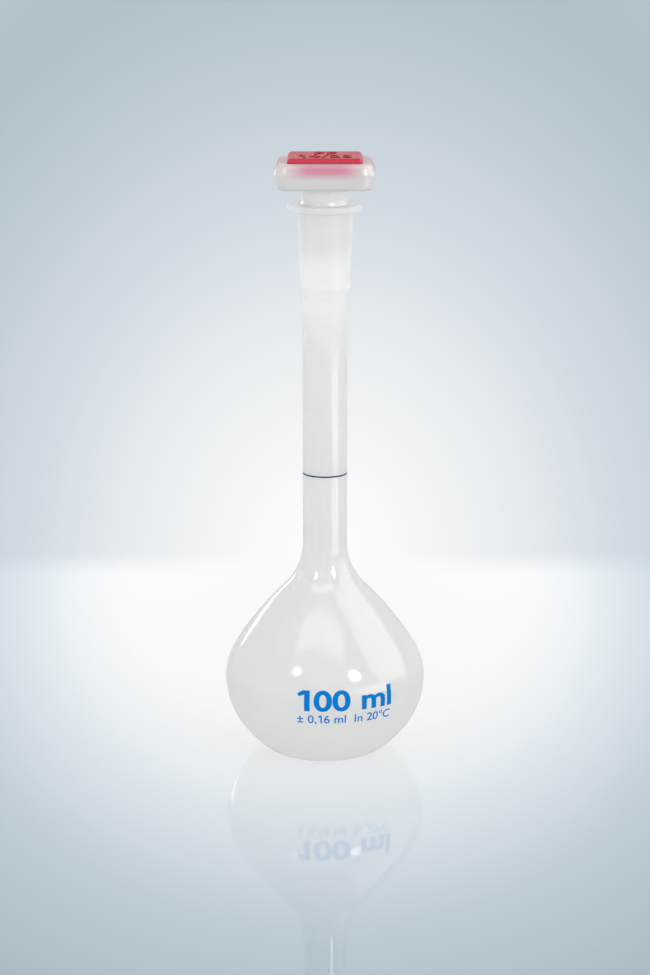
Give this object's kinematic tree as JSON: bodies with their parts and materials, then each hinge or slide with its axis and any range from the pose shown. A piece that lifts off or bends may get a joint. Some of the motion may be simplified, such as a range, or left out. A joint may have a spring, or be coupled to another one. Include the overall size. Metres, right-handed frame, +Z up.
{
  "type": "volumetric flask",
  "caption": "Translucent plastic volumetric flask: pear-shaped bulb, long neck with a capacity mark, conical socket under a collar, and a lift-out stopper with a square covered head.",
  "frame": {"origin": "on the axis of the flask, at the plane that its base stands on", "axes": "+Z up along the axis of the neck; the sides of the stopper's square head lie along X and Y, and the print faces -Y"},
  "size_m": [0.0614, 0.0614, 0.1835],
  "materials": {
    "flask_plastic": "translucent satin",
    "mark_ink": "matt printed ink",
    "stopper_plastic": "milky translucent satin",
    "cover_plastic": "semi-gloss"
  },
  "bodies": {
    "flask": {"flask_body": "flask_plastic", "capacity_mark": "mark_ink"},
    "stopper": {"stopper_body": "stopper_plastic", "stopper_cover": "cover_plastic"}
  },
  "joints": [
    {"name": "stopper_lift", "type": "slide", "parent": "flask", "child": "stopper", "axis": [0, 0, 1], "range_m": [0, 0.031]}
  ]
}
